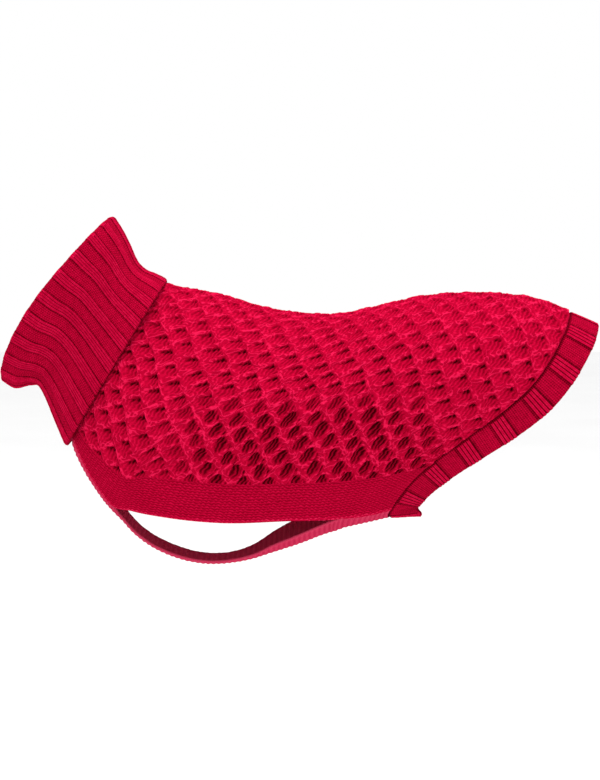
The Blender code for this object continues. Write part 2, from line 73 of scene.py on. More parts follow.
RIB_RISE = 1.3          # ribs of the collar and the hem above the cloth
COLLAR_RIBS = 22
COLLAR_SLOT = 0.9       # between the two layers of the folded collar
COLLAR_OUTER_WALL = 2.4
HEM_RIBS = 18
HEM_WIDTH = 28.0
HEM_DRAW_IN = 1.0       # how far the hem's free edge pulls in
HEM_DROOP = 7.0         # how far it hangs under the belly

BELLY_RIB_PITCH = 4.8
BELLY_RIB_RISE = 0.7

Ring = namedtuple("Ring", "along back_x edge_x half_width bow bulge band")
RINGS = [
    Ring(0.00, -129.5, -203.5, 56, 0.00, 0.00, 14),
    Ring(0.15, -60.0, -168.0, 83, -0.25, 0.00, 40),
    Ring(0.32, 0.0, -109.0, 91, -0.40, 0.00, 41),
    Ring(0.43, 36.0, -74.0, 92, -0.45, 0.00, 41),
    Ring(0.57, 90.0, -28.0, 91, -0.45, 0.08, 40),
    Ring(0.70, 143.5, 13.0, 88, -0.43, 0.27, 40),
    Ring(0.85, 197.0, 48.5, 81, -0.42, 0.65, 44),
    Ring(1.00, 241.4, 80.0, 66, -0.40, 0.93, 52),
]
EDGE_ANGLE = math.radians(140)
BULGE_HEIGHT = 0.72

Spine = namedtuple("Spine", "x z")
SPINE = [
    Spine(-129.5, 32.5),
    Spine(-121.0, 29.0),
    Spine(-90.0, 22.2),
    Spine(-70.0, 18.4),
    Spine(-36.0, 8.2),
    Spine(0.0, 2.0),
    Spine(36.0, 1.3),
    Spine(72.0, 8.6),
    Spine(108.0, 16.6),
    Spine(144.0, 20.0),
    Spine(180.0, 19.4),
    Spine(215.0, 14.4),
    Spine(241.4, 4.6),
]

Edge = namedtuple("Edge", "x z half")
EDGE = [
    Edge(-203.5, -102.0, 28),
    Edge(-199.5, -113.0, 30),
    Edge(-193.0, -127.0, 32),
    Edge(-182.0, -145.5, 36),
    Edge(-168.0, -163.0, 42),
    Edge(-148.0, -167.0, 57),
    Edge(-116.0, -171.4, 68),
    Edge(-69.0, -175.2, 73),
    Edge(-10.0, -173.5, 73),
    Edge(35.0, -172.0, 71),
    Edge(61.0, -170.0, 64),
    Edge(80.0, -167.0, 53),
]
LEG_FRONT_X = -168.0
LEG_REAR_X = 38.0

Belly = namedtuple("Belly", "x z edge_x edge_z edge_half")
BELLY = [
    Belly(-205.0, -103.0, -203.5, -102.0, 30),
    Belly(-201.3, -118.0, -197.3, -118.8, 32),
    Belly(-192.0, -137.5, -187.0, -138.0, 35),
    Belly(-181.5, -153.5, -177.0, -152.0, 38),
    Belly(-171.0, -168.0, -168.0, -163.0, 42),
    Belly(-159.8, -178.8, -159.8, -178.0, 25),
    Belly(-149.8, -190.5, -149.8, -190.0, 24),
    Belly(-137.5, -200.8, -137.5, -200.0, 24),
    Belly(-118.5, -212.0, -118.5, -210.0, 24),
    Belly(-86.0, -220.5, -86.0, -218.4, 22),
    Belly(-60.0, -219.5, -60.0, -217.2, 23),
    Belly(-42.0, -216.2, -42.0, -211.8, 30),
    Belly(-22.0, -210.5, -22.0, -200.6, 43),
    Belly(0.0, -203.0, 0.0, -190.0, 55),
    Belly(20.0, -195.0, 20.0, -180.0, 64),
    Belly(39.0, -188.6, 38.0, -172.0, 71),
    Belly(60.0, -182.8, 60.0, -170.0, 64),
    Belly(82.0, -178.4, 80.0, -167.0, 53),
]
STRIP_EDGE_SLOPE = math.radians(27)
SEWN_TURN = 30.0
SEAM_FADE = 12.0
WALL_TURN = 6

Collar = namedtuple("Collar", "along nape_x nape_z throat_x throat_z half_width side_reach lip")
COLLAR = [
    Collar(0.00, -166.5, 88.5, -263.0, -52.5, 67, 11, 4.5),
    Collar(0.14, -161.0, 80.0, -252.0, -55.5, 65, 9, 8.0),
    Collar(0.34, -154.0, 66.5, -240.5, -57.5, 62, 6, 2.5),
    Collar(0.56, -145.5, 48.5, -232.5, -61.5, 60, 3, 0.0),
    Collar(0.70, -138.5, 42.0, -227.0, -72.0, 60, 2, 0.0),
    Collar(0.86, -129.0, 38.0, -218.5, -93.5, 62, 1, 0.0),
    Collar(1.00, -120.0, 33.5, -210.0, -114.0, 65, 0, 0.0),
]
COLLAR_OVAL = 2.4
REACH_SKEW = 0.45
LIP_SHARPNESS = 6
COLLAR_SEAM = 0.86
PULL_START = 0.45
PULL_LENGTH = 0.4
COLLAR_STEP = 0.02
DIRECTION_STEPS = 240   # even steps round the hem, for its direction
DIRECTION_PASSES = 30

# ---- the knit --------------------------------------------------------------

ROW_LEAN = 5.4          # a row of cells lies this far back from the one above it
ROW_DROP = 12.6         # and this far down
UPPER_LEFT = (ROW_LEAN - CELL_PITCH / 2, ROW_DROP)      # from a cell to those above it
UPPER_RIGHT = (ROW_LEAN + CELL_PITCH / 2, ROW_DROP)
Cell = namedtuple("Cell", "lean half_length half_width shift_x shift_y")
CLOSED_CELL = Cell(math.radians(45), 5.5, 3.0, 1.6, 3.0)    # where a hole starts to open
OPEN_CELL = Cell(math.radians(60), 8.8, 4.7, 0.0, 0.0)      # a stretched, deep oval
CELL_SQUARENESS = 2.3
CELL_JITTER = 0.1       # how unlike its neighbours a cell is
STRAND_PITCH = 3.2      # wavering strands across the cells and below the pockets
STRAND_WAVE = 0.3
STRAND_WAVE_LENGTH = 5.2
STRAND_WANDER = 1.6     # how far they stray, over STRAND_STRAY_LENGTH
STRAND_STRAY_LENGTH = 7.0
STRAND_LEAN = math.radians(62)
STRAND_RISE = 0.4
SLOPE_LENGTH = 13.0     # the strands slope out over this length
STROKE_LEANS = (math.radians(34), math.radians(-48))    # loose yarn on the cords
STROKE_WIDTH = 2.9
STROKE_LENGTH = 6.0
FUZZ_RISE = 0.8

BAND_WALE = 4.4
BAND_COURSE = 2.7
BAND_STRAY = 5.0        # how far its stitches stray
FLOOR_DROP = 0.24      # metres from the belly to where the wearer's paws stand

WALE = 2.4              # width of a column of stitches
COURSE = 1.9            # height of a row of stitches
WALE_RISE = 0.85        # a wale's roundness, out of the rib's own rise
PURL_LOOP = 1.7         # between two loops on the wrong side
PURL_RISE = 0.45

RibKnit = namedtuple("RibKnit", "ribs half_share rib_wales purl_wales columns")
COLLAR_KNIT = RibKnit(COLLAR_RIBS, 0.22, 4, 5, 33)
HEM_KNIT = RibKnit(HEM_RIBS, 0.19, 4, 8, 42)

BODY_COLUMNS = 540      # mesh columns from the neck seam to the hem seam
ROW_STEPS = 14          # mesh rows in a row of cells
BAND_STEPS = 30
COLLAR_ROWS = 124
HEM_ROWS = 34
HEM_INNER_ROWS = 14
BELLY_STEP = 0.85
BELLY_HALF_COLUMNS = 36


def smooth(knots, values, where):
    """Value at `where` of a soft curve through the knots (Catmull-Rom)."""
    knots = np.asarray(knots, float)
    values = np.asarray(values, float)
    slopes = np.gradient(values, knots, axis=0)
    where = np.clip(where, knots[0], knots[-1])
    left = np.clip(np.searchsorted(knots, where) - 1, 0, len(knots) - 2)
    step = knots[left + 1] - knots[left]
    t = (where - knots[left]) / step
    return (
        (2 * t**3 - 3 * t**2 + 1) * values[left]
        + (t**3 - 2 * t**2 + t) * step * slopes[left]
        + (3 * t**2 - 2 * t**3) * values[left + 1]
        + (t**3 - t**2) * step * slopes[left + 1]
    )


def column(table, name):
    return [getattr(row, name) for row in table]


def read(table, key, name, where):
    """Column `name` of a table, read between its rows at `where` on `key`."""
    return smooth(column(table, key), column(table, name), where)


def unit(vectors):
    return vectors / np.linalg.norm(vectors, axis=-1, keepdims=True)


def ramp(low, high, value):
    """0 below `low`, 1 above `high` and a soft step between."""
    t = np.clip((value - low) / (high - low), 0.0, 1.0)
    return t * t * (3 - 2 * t)


def lengths_along(points):
    """Distance from the first point to each point of a line, or of many lines."""
    steps = np.linalg.norm(np.diff(points, axis=0), axis=-1)
    return np.concatenate([np.zeros_like(steps[:1]), np.cumsum(steps, axis=0)])


def walk(stops, points, where):
    """Points at the distances `where` along a line whose points lie at `stops`."""
    return np.stack([np.interp(where, stops, points[:, axis]) for axis in range(3)], axis=-1)


def mirrored(points):
    return points * (1, -1, 1)


def noise(u, v, size, seed):
    """Soft random values from -1 to 1 over a plane, with bumps about `size` apart."""
    table = np.random.default_rng(seed).uniform(-1, 1, (257, 257))
    table[-1], table[:, -1] = table[0], table[:, 0]
    x, y = u / size, v / size
    column_, row_ = np.floor(x).astype(int), np.floor(y).astype(int)
    tx, ty = ramp(0, 1, x - column_), ramp(0, 1, y - row_)
    column_, row_ = column_ % 256, row_ % 256
    low = table[row_, column_] * (1 - tx) + table[row_, column_ + 1] * tx
    high = table[row_ + 1, column_] * (1 - tx) + table[row_ + 1, column_ + 1] * tx
    return low * (1 - ty) + high * ty


# ---- meshes ----------------------------------------------------------------

def grid_normals(points, closed=False):
    """Normals of a grid of points, whose rows close on themselves when asked."""
    down = np.gradient(points, axis=0)
    if closed:
        along = np.roll(points, -1, axis=1) - np.roll(points, 1, axis=1)
    else:
        along = np.gradient(points, axis=1)
    return unit(np.cross(down, along))


def knit_mesh(name, points, normals, painted_shade, knit, finish, closed=False, rib=None, leg=None):
    """Object over a grid of points, with its own normals and knit coordinates.

    The painted shade is 0 on the crests and 1 in the deepest places: the colour
    is painted darker with it, and lighter on the crests as a painted highlight.
    knit holds the place of each point in the fabric in millimetres. rib is 1 on
    knitted wales and 0 on purled ones, or 1 where loose strands show in the
    honeycomb, and leg is 0 on its cords that rise to the tail and 1 on those
    that fall.
    """
    rows, columns = points.shape[:2]
    numbers = np.arange(rows * columns).reshape(rows, columns)
    right = np.roll(numbers, -1, axis=1) if closed else numbers[:, 1:]
    left = numbers if closed else numbers[:, :-1]
    quads = np.stack([left[:-1], left[1:], right[1:], right[:-1]], axis=-1).reshape(-1, 4)
    mesh = bpy.data.meshes.new(name)
    mesh.from_pydata((points.reshape(-1, 3) * MM).tolist(), [], quads.tolist())
    mesh.shade_smooth()
    values = {"painted_shade": painted_shade, "rib": np.ones_like(painted_shade) if rib is None else rib}
    if leg is not None:
        values["leg"] = leg
    for attribute, numbers_ in values.items():
        layer = mesh.attributes.new(attribute, "FLOAT", "POINT")
        layer.data.foreach_set("value", np.ascontiguousarray(numbers_, np.float32).ravel())
    corners = np.empty(len(mesh.loops), int)
    mesh.loops.foreach_get("vertex_index", corners)
    places = knit.reshape(-1, 2)[corners]
    if closed:
        # In the last column of faces the fabric's coordinate runs on.
        last = (np.arange(len(quads)) % columns == columns - 1).repeat(4) & (corners % columns == 0)
        row = corners[last] // columns
        places[last, 0] = knit[row, -1, 0] + knit[row, 1, 0] - knit[row, 0, 0]
    layer = mesh.uv_layers.new(name="knit")
    layer.data.foreach_set("uv", np.ascontiguousarray(places, np.float32).ravel())
    mesh.normals_split_custom_set_from_vertices(normals.reshape(-1, 3).tolist())
    mesh.materials.append(finish)
    made = bpy.data.objects.new(name, mesh)
    bpy.context.scene.collection.objects.link(made)
    return made


# ---- materials -------------------------------------------------------------

class Nodes:
    """Short calls for a material's node tree."""

    def __init__(self, name):
        self.material = bpy.data.materials.new(name)
        self.material.use_nodes = True
        self.tree = self.material.node_tree
        self.shader = self.tree.nodes["Principled BSDF"]

    def add(self, kind, **inputs):
        node = self.tree.nodes.new(kind)
        for key, value in inputs.items():
            socket = node.inputs[key.replace("_", " ")]
            if isinstance(value, bpy.types.NodeSocket):
                self.tree.links.new(value, socket)
            else:
                socket.default_value = value
        return node

    def math(self, operation, first, second=0.0, third=0.0):
        node = self.tree.nodes.new("ShaderNodeMath")
        node.operation = operation
        for socket, value in zip(node.inputs, (first, second, third)):
            if isinstance(value, bpy.types.NodeSocket):
                self.tree.links.new(value, socket)
            else:
                socket.default_value = value
        return node.outputs[0]

    def attribute(self, name):
        node = self.tree.nodes.new("ShaderNodeAttribute")
        node.attribute_name = name
        return node.outputs["Fac"]

    def knit(self):
        """The two coordinates of the knit, in millimetres."""
        uv = self.tree.nodes.new("ShaderNodeUVMap")
        uv.uv_map = "knit"
        split = self.add("ShaderNodeSeparateXYZ", Vector=uv.outputs[0])
        return uv.outputs[0], split.outputs[0], split.outputs[1]

    def fine_noise(self, vector, size, detail=2.0):
        node = self.add("ShaderNodeTexNoise", Vector=vector, Scale=1 / size, Detail=detail)
        return node.outputs[0]

    def strokes(self, across, along, lean):
        """Short strokes, from 0 to 1, that lean by an angle above the body's length."""
        down_stroke = self.math("MULTIPLY_ADD", along, math.sin(lean), self.math("MULTIPLY", across, math.cos(lean)))
        aside = self.math("MULTIPLY_ADD", along, math.cos(lean), self.math("MULTIPLY", across, -math.sin(lean)))
        place = self.add("ShaderNodeCombineXYZ", X=self.math("DIVIDE", down_stroke, STROKE_LENGTH),
                         Y=self.math("DIVIDE", aside, STROKE_WIDTH), Z=lean * 10)
        node = self.add("ShaderNodeTexNoise", Vector=place.outputs[0], Scale=1.0, Detail=0.0)
        # The noise runs through its middle along thin lines: those are the yarns.
        ridge = self.math("ABSOLUTE", self.math("SUBTRACT", node.outputs[0], 0.5))
        return self.math("MAXIMUM", self.math("MULTIPLY_ADD", ridge, -7.0, 1.0), 0.0)

    def between(self, factor, stops):
        """Colour ramp with (place, colour) stops."""
        node = self.add("ShaderNodeValToRGB", Fac=factor)
        elements = node.color_ramp.elements
        while len(elements) < len(stops):
            elements.new(0.5)
        for element, (place, colour) in zip(elements, stops):
            element.position = place
            element.color = (*colour, 1.0)
        return node.outputs[0]

    def wave(self, turns):
        """0 to 1 and back for each whole turn."""
        return self.math("MULTIPLY_ADD", self.math("COSINE", self.math("MULTIPLY", turns, math.tau)), -0.5, 0.5)


# Each yarn's deep colour is painted shade for the hollows; its crest and fuzz colours are the fuzz's own pink
# together with a painted highlight on the crests.
Yarn = namedtuple("Yarn", "deep body crest fuzz")
HONEY_YARN = Yarn((0.05, 0.0, 0.002), (0.32, 0.0006, 0.016), (0.53, 0.002, 0.034), (0.72, 0.010, 0.068))
RIB_YARN = Yarn((0.07, 0.0, 0.003), (0.33, 0.001, 0.018), (0.56, 0.002, 0.040), (0.76, 0.018, 0.088))
BAND_YARN = Yarn((0.18, 0.0, 0.007), (0.38, 0.001, 0.022), (0.52, 0.002, 0.036), (0.70, 0.02, 0.085))
# The belly's yarn is lighter and paler than the others: painted light, for the light the underside catches from
# below.
BELLY_YARN = Yarn((0.26, 0.006, 0.03), (0.50, 0.02, 0.07), (0.60, 0.04, 0.10), (0.74, 0.10, 0.19))
INSIDE_YARN = Yarn((0.12, 0.0, 0.006), (0.34, 0.002, 0.022), (0.48, 0.004, 0.04), (0.58, 0.02, 0.08))


def yarn_material(name, yarn, stitch, stitch_shade, stitch_height, fuzz_height):
    """Soft wool: painted shade darkens the hollows, a painted highlight over the yarn's own pink lightens the
    crests, and its stitches carry painted shade and highlight as well as bumps.
    """
    nodes = Nodes(name)
    vector, across, along = nodes.knit()
    painted_shade = nodes.attribute("painted_shade")
    stitches = stitch(nodes, across, along)
    fuzz = nodes.fine_noise(vector, 1.6, 2.0)
    patches = nodes.fine_noise(vector, 26.0)
    # Painted shade and highlight: 0 in the hollows and 1 on the crests, with painted shade and highlight for the
    # stitches, roughened by the yarn itself.
    height = nodes.math("MULTIPLY_ADD", painted_shade, -0.85, 0.85)
    height = nodes.math("MULTIPLY_ADD", nodes.math("SUBTRACT", stitches, 0.5), stitch_shade, height)
    height = nodes.math("MULTIPLY_ADD", nodes.math("SUBTRACT", fuzz, 0.5), 0.2, height)
    height = nodes.math("MULTIPLY_ADD", nodes.math("SUBTRACT", patches, 0.5), 0.2, height)
    colour = nodes.between(height, (
        (0.0, yarn.deep), (0.4, yarn.body), (0.8, yarn.crest), (1.0, yarn.fuzz),
    ))
    nodes.tree.links.new(colour, nodes.shader.inputs["Base Color"])
    relief = nodes.math("MULTIPLY_ADD", stitches, stitch_height, nodes.math("MULTIPLY", fuzz, fuzz_height))
    bump = nodes.add("ShaderNodeBump", Height=relief, Strength=1.0, Distance=MM)
    nodes.tree.links.new(bump.outputs[0], nodes.shader.inputs["Normal"])
    nodes.shader.inputs["Roughness"].default_value = 0.9
    nodes.shader.inputs["Specular IOR Level"].default_value = 0.0
    nodes.shader.inputs["Sheen Weight"].default_value = 0.08
    nodes.shader.inputs["Sheen Roughness"].default_value = 0.45
    nodes.shader.inputs["Sheen Tint"].default_value = (1.0, 0.05, 0.18, 1.0)
    return nodes.material


def strand_stitch(nodes, across, along):
    """Wavering strands over the cells, and strokes of loose yarn on the cords."""
    lean = nodes.math("MULTIPLY_ADD", along, -math.cos(STRAND_LEAN),
                      nodes.math("MULTIPLY", across, math.sin(STRAND_LEAN)))
    waver = nodes.math("SINE", nodes.math("MULTIPLY", along, math.tau / STRAND_WAVE_LENGTH))
    lean = nodes.math("MULTIPLY_ADD", waver, STRAND_WAVE, lean)
    crests = nodes.math("MULTIPLY_ADD", nodes.wave(nodes.math("DIVIDE", lean, STRAND_PITCH)), -0.6, 0.8)
    rising, falling = (nodes.strokes(across, along, lean_) for lean_ in STROKE_LEANS)
    more = nodes.math("SUBTRACT", falling, rising)
    loose = nodes.math("MULTIPLY_ADD", more, nodes.attribute("leg"), rising)
    share = nodes.attribute("rib")
    rest = nodes.math("MULTIPLY", loose, nodes.math("SUBTRACT", 1.0, share))
    return nodes.math("MULTIPLY_ADD", crests, share, rest)


def plain_stitch(nodes, across, along):
    """Small V shapes in columns, the right side of stocking knit."""
    wale = nodes.math("SUBTRACT", nodes.math("FRACT", nodes.math("DIVIDE", across, WALE)), 0.5)
    beside = nodes.math("ABSOLUTE", wale)
    legs = nodes.math("ABSOLUTE", nodes.math("SINE", nodes.math("MULTIPLY", beside, math.tau)))
    climb = nodes.math("MULTIPLY_ADD", beside, 1.5, nodes.math("DIVIDE", along, COURSE))
    return nodes.math("MULTIPLY", legs, nodes.math("MULTIPLY_ADD", nodes.wave(climb), 0.5, 0.5))


def band_stitch(nodes, across, along):
    """Uneven rows of V shapes, coarser and shallower than those of the ribs."""
    place = nodes.add("ShaderNodeCombineXYZ", X=across, Y=along)
    stray = nodes.math("SUBTRACT", nodes.fine_noise(place.outputs[0], 5.0, 0.0), 0.5)
    across = nodes.math("MULTIPLY_ADD", stray, BAND_STRAY, across)
    wale = nodes.math("SUBTRACT", nodes.math("FRACT", nodes.math("DIVIDE", across, BAND_WALE)), 0.5)
    climb = nodes.math("MULTIPLY_ADD", nodes.math("ABSOLUTE", wale), 0.9, nodes.math("DIVIDE", along, BAND_COURSE))
    climb = nodes.math("MULTIPLY_ADD", stray, 0.8, climb)
    legs = nodes.wave(nodes.math("ABSOLUTE", wale))
    return nodes.math("MULTIPLY", nodes.wave(climb), nodes.math("MULTIPLY_ADD", legs, 0.5, 0.5))


def purl_stitch(nodes, across, along):
    """Small bars across the columns, the wrong side of stocking knit."""
    bars = nodes.wave(nodes.math("DIVIDE", along, COURSE))
    loops = nodes.wave(nodes.math("DIVIDE", across, PURL_LOOP))
    return nodes.math("MULTIPLY_ADD", bars, 0.3, nodes.math("MULTIPLY", loops, 0.7))


def rib_stitch(nodes, across, along):
    """Stocking knit on the ribs and purl between them."""
    rib = nodes.attribute("rib")
    knitted = nodes.math("MULTIPLY", plain_stitch(nodes, across, along), rib)
    rest = nodes.math("SUBTRACT", 1.0, rib)
    return nodes.math("MULTIPLY_ADD", purl_stitch(nodes, across, along), rest, knitted)


# ---- body panel ------------------------------------------------------------

def body_rings(alongs, angles):
    """Points of many rings of the body, from the spine to the near edge."""
    along = np.asarray(alongs)[:, None]
    angle = np.asarray(angles)[None, :]
    height = 1 - (1 - np.cos(angle)) / (1 - math.cos(EDGE_ANGLE))
    back_x = read(RINGS, "along", "back_x", along)
    edge_x = read(RINGS, "along", "edge_x", along)
    half_width = read(RINGS, "along", "half_width", along)
    full = (1 - np.cos(math.pi * np.minimum(height / BULGE_HEIGHT, 1.0))) / 2
    bend = read(RINGS, "along", "bow", along) + read(RINGS, "along", "bulge", along) * full
    back_z = read(SPINE, "x", "z", back_x)
    edge_z = read(EDGE, "x", "z", edge_x)
    edge_half = read(EDGE, "x", "half", edge_x)
    hang = (1 - edge_half / half_width) / (1 - math.sin(EDGE_ANGLE))
    side = np.sin(angle) * np.ones_like(along)
    side = np.where(angle > math.pi / 2, 1 - (1 - side) * hang, side)
    x = edge_x + (back_x - edge_x) * (height + height * (1 - height) * bend)
    z = edge_z + (back_z - edge_z) * height
    return np.stack([x, -half_width * side, z * np.ones_like(x)], axis=-1)


class BodyGrid:
    """Near half of the body's outer face, as rows from the spine downwards."""

    def __init__(self):
        alongs = np.linspace(0.0, 1.0, BODY_COLUMNS + 1)
        rings = body_rings(alongs, np.linspace(0.0, EDGE_ANGLE, 181))
        honey_rows = CELL_ROWS * ROW_STEPS
        honey, band = [], []
        for ring, along in zip(rings, alongs):
            stops = lengths_along(ring)
            width = read(RINGS, "along", "band", along)
            honey.append(walk(stops, ring, np.linspace(0.0, stops[-1] - width, honey_rows + 1)))
            band.append(walk(stops, ring, np.linspace(stops[-1] - width, stops[-1], BAND_STEPS + 1)))
        self.honey = np.stack(honey, axis=1)
        self.band = np.stack(band, axis=1)
        self.honey_normals = self.face_normals(self.honey, True)
        self.band_normals = self.face_normals(self.band, False)
        self.honey_distance = self.distances(self.honey, alongs)
        self.band_distance = self.distances(self.band, alongs)
        self.rows = np.linspace(0.0, CELL_ROWS, honey_rows + 1)[:, None] * np.ones(len(alongs))

    @staticmethod
    def face_normals(points, from_spine):
        down = np.gradient(points, axis=0)
        if from_spine:
            down[0] = (0, -1, 0)
        return unit(np.cross(down, np.gradient(points, axis=1)))

    @staticmethod
    def distances(points, alongs):
        """Distance of each point along its row, from the ring where cells start."""
        stops = lengths_along(np.swapaxes(points, 0, 1)).T
        start = [np.interp(START_RING, alongs, row) for row in stops]
        return stops - np.array(start)[:, None]


def openness(x, row):
    """How far the cells are stretched open: 0 on the back, 1 low on the flank."""
    front = 0.2 + 0.8 * ramp(-170.0, -50.0, x)
    rear = 1 - 0.85 * ramp(95.0, 150.0, x)
    return ramp(6.5, 13.0, row) * front * rear


def beneath(neighbour, dx, dy):
    """Distance in from the cord towards a neighbour cell, and distance along it."""
    apart = math.hypot(*neighbour)
    way_x, way_y = neighbour[0] / apart, neighbour[1] / apart
    return apart / 2 - dx * way_x - dy * way_y, dx * way_y - dy * way_x


def honeycomb(distance, row, x):
    """Height of the honeycomb from 0 to 1, where loose strands show, and which
    way its cords run.

    Each point belongs to the nearest cell, and cords run where two cells meet.
    A closed cell has a pocket under its upper cord, and strands slope out from
    it to the lower one. In an open cell the pocket takes nearly all of it.
    """
    across = distance + 1.8 * noise(distance, row * ROW_DROP, 34.0, 1)
    row = row + 0.1 * noise(distance, row * ROW_DROP, 30.0, 2)
    open_ = openness(x, row)
    off_spine = ramp(0.0, 2.0, row)
    jitter = np.random.default_rng(5).normal(0, CELL_JITTER, (5, 64, 64))
    nearest = np.full(distance.shape, 1e9)
    second = np.full(distance.shape, 1e9)
    dx, dy, next_x, next_y, size, turn = (np.zeros(distance.shape) for _ in range(6))
    base = np.floor(row)
    for row_step in (-1, 0, 1, 2):
        cell_row = base + row_step
        stagger = 0.5 * np.mod(cell_row, 2)
        left = np.floor(across / CELL_PITCH - stagger)
        for step in (-1, 0, 1, 2):
            number = left + step
            pick = (np.mod(cell_row, 64).astype(int), np.mod(number, 64).astype(int))
            x_ = across - (number + stagger) * CELL_PITCH - ROW_LEAN * off_spine * (row - cell_row)
            x_ = x_ + 7 * jitter[0][pick]
            y_ = -ROW_DROP * (row - cell_row) + 6 * jitter[1][pick]
            far = x_**2 + y_**2
            nearer = far < nearest
            runner_up = ~nearer & (far < second)
            next_x = np.where(nearer, dx, np.where(runner_up, x_, next_x))
            next_y = np.where(nearer, dy, np.where(runner_up, y_, next_y))
            second = np.where(nearer, nearest, np.where(runner_up, far, second))
            dx, dy = np.where(nearer, x_, dx), np.where(nearer, y_, dy)
            size, turn = np.where(nearer, jitter[2][pick], size), np.where(nearer, jitter[3][pick], turn)
            nearest = np.where(nearer, far, nearest)
    apart_x, apart_y = dx - next_x, dy - next_y
    apart = np.hypot(apart_x, apart_y) + 1e-6
    edge = (second - nearest) / (2 * apart)
    leg = ramp(0.45, 0.65, apart_x * np.sign(apart_y) / apart)
    cord = (1 - ramp(1.3, 3.4, edge)) * (1 - 0.5 * leg * (1 - open_))
    cell = Cell(*(shut + (wide - shut) * open_ for shut, wide in zip(CLOSED_CELL, OPEN_CELL)))
    half_length = cell.half_length * (1 - 0.35 * ramp(110.0, 170.0, x))
    lean = (cell.lean + turn) * off_spine
    aside_x, aside_y = dx - cell.shift_x, dy - cell.shift_y * (0.4 + 0.6 * off_spine)
    u = aside_x * np.cos(lean) + aside_y * np.sin(lean)
    w = aside_x * np.sin(lean) - aside_y * np.cos(lean)
    best = (abs(u / half_length) ** CELL_SQUARENESS
            + abs(w / cell.half_width) ** CELL_SQUARENESS) ** (1 / CELL_SQUARENESS) / (1 + size)
    top = np.clip(0.5 + 0.5 * u / half_length, 0.0, 1.0)
    upper = ramp(1.0, -1.0, w)
    hole = 1 - ramp(0.55 + 0.3 * upper, 1.2 - 0.15 * upper, best)
    # A closed cell is deep only under the two cords that meet at its top.
    below, along = beneath(UPPER_LEFT, dx, dy)
    below_, along_ = beneath(UPPER_RIGHT, dx, dy)
    short = 4 * ramp(110.0, 170.0, x)
    arch = ramp(1.2, 2.0, below) * (1 - ramp(3.0, 7.4, below)) * ramp(short - 6.0, short + 2.0, along)
    arch = arch * ramp(0.3, 1.3, below_) * (0.75 + 0.25 * ramp(2.0, 8.0, along))
    side = ramp(0.6, 1.3, below_) * (1 - ramp(1.8, 3.4, below_)) * (1 - ramp(-1.0, 3.0, along_))
    arch = np.maximum(arch, 0.7 * side * ramp(0.6, 1.3, below))
    arch = arch * (1 - ramp(0.4, 0.9, open_)) * (0.65 + 0.35 * ramp(3.0, 8.0, row))
    hole = hole * ramp(0.15, 0.95, open_)
    pocket = np.maximum(hole, arch)
    depth = np.maximum(hole * (0.6 + 0.4 * top), arch)
    # The strands below a closed cell's pocket slope out to the next cord.
    down = np.clip((5.0 - dx * math.cos(STRAND_LEAN) - dy * math.sin(STRAND_LEAN)) / SLOPE_LENGTH, 0.0, 1.0)
    slope = (1 - cord) * (0.44 - 0.34 * down)
    depth = np.maximum(depth, slope)
    # A strand stands along the lower right rim, with a narrow gap behind it.
    beside = ramp(0.5, 2.0, w) * (1 - ramp(3.0, 6.5, u)) * ramp(-8.0, -4.0, u) * open_
    depth = depth + 0.45 * beside * np.exp(-((best - 1.5) / 0.14) ** 2)
    return 1 - depth, np.maximum((1 - cord) * (1 - 0.5 * down), pocket), leg


def strand_turns(across, along):
    """Which strand lies at a place of the knit: whole numbers on their crests."""
    lean = across * math.sin(STRAND_LEAN) - along * math.cos(STRAND_LEAN)
    return (lean + STRAND_WAVE * np.sin(math.tau / STRAND_WAVE_LENGTH * along)) / STRAND_PITCH


def honeycomb_relief(grid):
    """Displaced near half of the honeycomb with its normals, painted shade, knit
    coordinates, strands and legs."""
    height, strands, leg = honeycomb(grid.honey_distance, grid.rows, grid.honey[..., 0])
    across, along = grid.honey_distance - ROW_LEAN * grid.rows, -ROW_DROP * grid.rows
    across = across + STRAND_WANDER * noise(across, along, STRAND_STRAY_LENGTH, 11)
    lift = CORD_RISE * height
    lift = lift + STRAND_RISE * strands * np.cos(math.tau * strand_turns(across, along))
    rising, falling = (
        noise((across * math.cos(lean) + along * math.sin(lean)) * 0.5,
              along * math.cos(lean) - across * math.sin(lean), 2.3, 3 + number)
        for number, lean in enumerate(STROKE_LEANS))
    lift = lift + FUZZ_RISE * (rising + (falling - rising) * leg) * (1 - 0.7 * strands)
    fade = ramp(0.0, NECK_FADE, lengths_along(np.swapaxes(grid.honey, 0, 1)).T)
    edge_fade = ramp(0.0, 2.0, grid.honey_distance - grid.honey_distance[:, :1])
    end_fade = ramp(0.0, 2.0, grid.honey_distance[:, -1:] - grid.honey_distance)
    band_fade = ramp(0.0, 0.35, CELL_ROWS - grid.rows)
    lift = lift * (0.35 + 0.65 * fade) * edge_fade * end_fade * (0.25 + 0.75 * band_fade)
    points = grid.honey + grid.honey_normals * lift[..., None]
    normals = grid_normals(points)
    normals[0, :, 1] = 0.0
    knit = np.stack([across, along], axis=-1)
    # The depth below the crests becomes the painted shade, darkest in the pockets under the cords.
    return points, unit(normals), np.clip(1 - height, 0.0, 1.0), knit, strands, leg


def honeycomb_pieces(grid, finish):
    near = honeycomb_relief(grid)
    far = [values[::-1] for values in (mirrored(near[0]), mirrored(near[1]), *near[2:])]
    half = near[0].shape[1] // 2
    made = []
    for side, grids in (("left", near), ("right", far)):
        for place, part in (("front", slice(0, half + 1)), ("rear", slice(half, None))):
            points, normals, painted_shade, knit, strands, leg = [values[:, part] for values in grids]
            name = f"back_knit_{side}_{place}"
            made.append(knit_mesh(name, points, normals, painted_shade, knit, finish, rib=strands, leg=leg))
    return made


